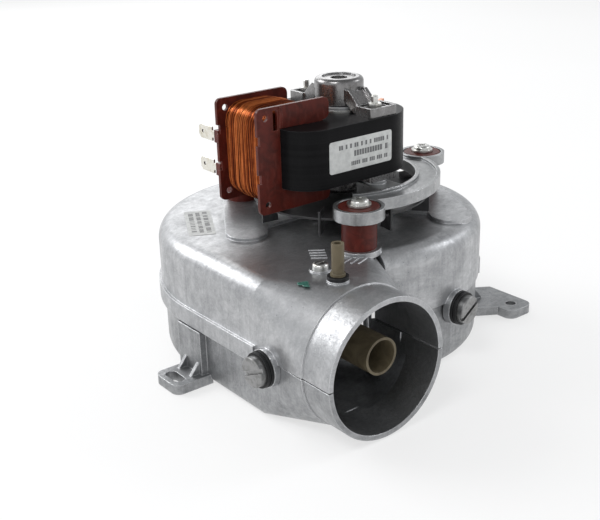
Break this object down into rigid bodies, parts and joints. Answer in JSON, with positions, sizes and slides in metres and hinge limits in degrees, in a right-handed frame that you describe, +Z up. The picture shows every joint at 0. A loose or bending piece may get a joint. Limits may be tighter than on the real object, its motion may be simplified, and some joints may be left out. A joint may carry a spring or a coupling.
{
  "type": "boiler flue gas fan",
  "caption": "Flue-gas fan: two-part cast scroll casing with round outlet, caged impeller and shaded-pole motor on silicone mounts.",
  "frame": {"origin": "on the shaft axis, in the mounting plane under the casing's floor", "axes": "+Z up the shaft to the motor; the outlet points along -Y; +X to the right of the outlet"},
  "size_m": [0.1847, 0.1895, 0.1256],
  "materials": {
    "cast_aluminium": "die-cast, satin with a few bright edges",
    "gasket_grey": "flat grey gasket board",
    "zinc_steel": "zinc plated, slightly worn",
    "black_seal": "black moulded rubber, satin",
    "galvanised_steel": "pressed galvanised sheet",
    "khaki_plastic": "khaki-beige heat-resistant plastic, matte",
    "red_silicone": "brick-red silicone, satin",
    "black_core": "black dipped laminations",
    "copper_bar": "bare copper bar",
    "red_brown_plastic": "red-brown moulded plastic",
    "copper_wire": "enamelled copper wire",
    "tinned_brass": "tin-plated brass",
    "bearing_cast": "die-cast zinc alloy, bright on its edges",
    "sintered_bronze": "oil-filled sintered bronze",
    "ground_steel": "ground steel",
    "lamination_steel": "turned laminations",
    "cage_aluminium": "cast end rings",
    "fibre": "brown fibre washers",
    "label_white": "white label, no marks"
  },
  "bodies": {
    "housing": {"upper_housing": "cast_aluminium", "lower_housing": "cast_aluminium", "casing_gasket": "gasket_grey", "casing_screws": "zinc_steel", "screw_seals": "black_seal", "inlet_ring": "galvanised_steel", "inlet_screws": "zinc_steel", "pressure_probe": "khaki_plastic", "probe_screw": "zinc_steel", "probe_seal": "black_seal", "shaft_seal": "black_seal", "grommet_sleeves": "zinc_steel", "grommet_screws": "zinc_steel", "motor_bracket": "cast_aluminium", "stator_core": "black_core", "shading_rings": "copper_bar", "bobbin": "red_brown_plastic", "coil_winding": "copper_wire", "terminals": "tinned_brass", "upper_bearing_bracket": "bearing_cast", "lower_bearing_bracket": "bearing_cast", "upper_bearing": "sintered_bronze", "lower_bearing": "sintered_bronze", "upper_bearing_retainer": "ground_steel", "lower_bearing_retainer": "ground_steel", "rotor_guard": "galvanised_steel", "motor_studs": "zinc_steel", "motor_nuts": "zinc_steel", "motor_label": "label_white", "casing_label": "label_white", "grommet_1": "red_silicone", "grommet_2": "red_silicone", "grommet_3": "red_silicone"},
    "rotor": {"shaft": "ground_steel", "rotor_core": "lamination_steel", "rotor_cage": "cage_aluminium", "thrust_washers": "fibre", "cooling_fan": "galvanised_steel", "impeller_hub": "ground_steel", "impeller_backplate": "galvanised_steel", "impeller_blades": "galvanised_steel", "impeller_shroud": "galvanised_steel", "impeller_rivets": "cage_aluminium", "impeller_nut": "zinc_steel", "impeller_washer": "zinc_steel"}
  },
  "joints": [
    {"name": "shaft_spin", "type": "hinge", "parent": "housing", "child": "rotor", "pos_m": [0, 0, 0.06], "axis": [0, 0, 1], "continuous": true}
  ]
}
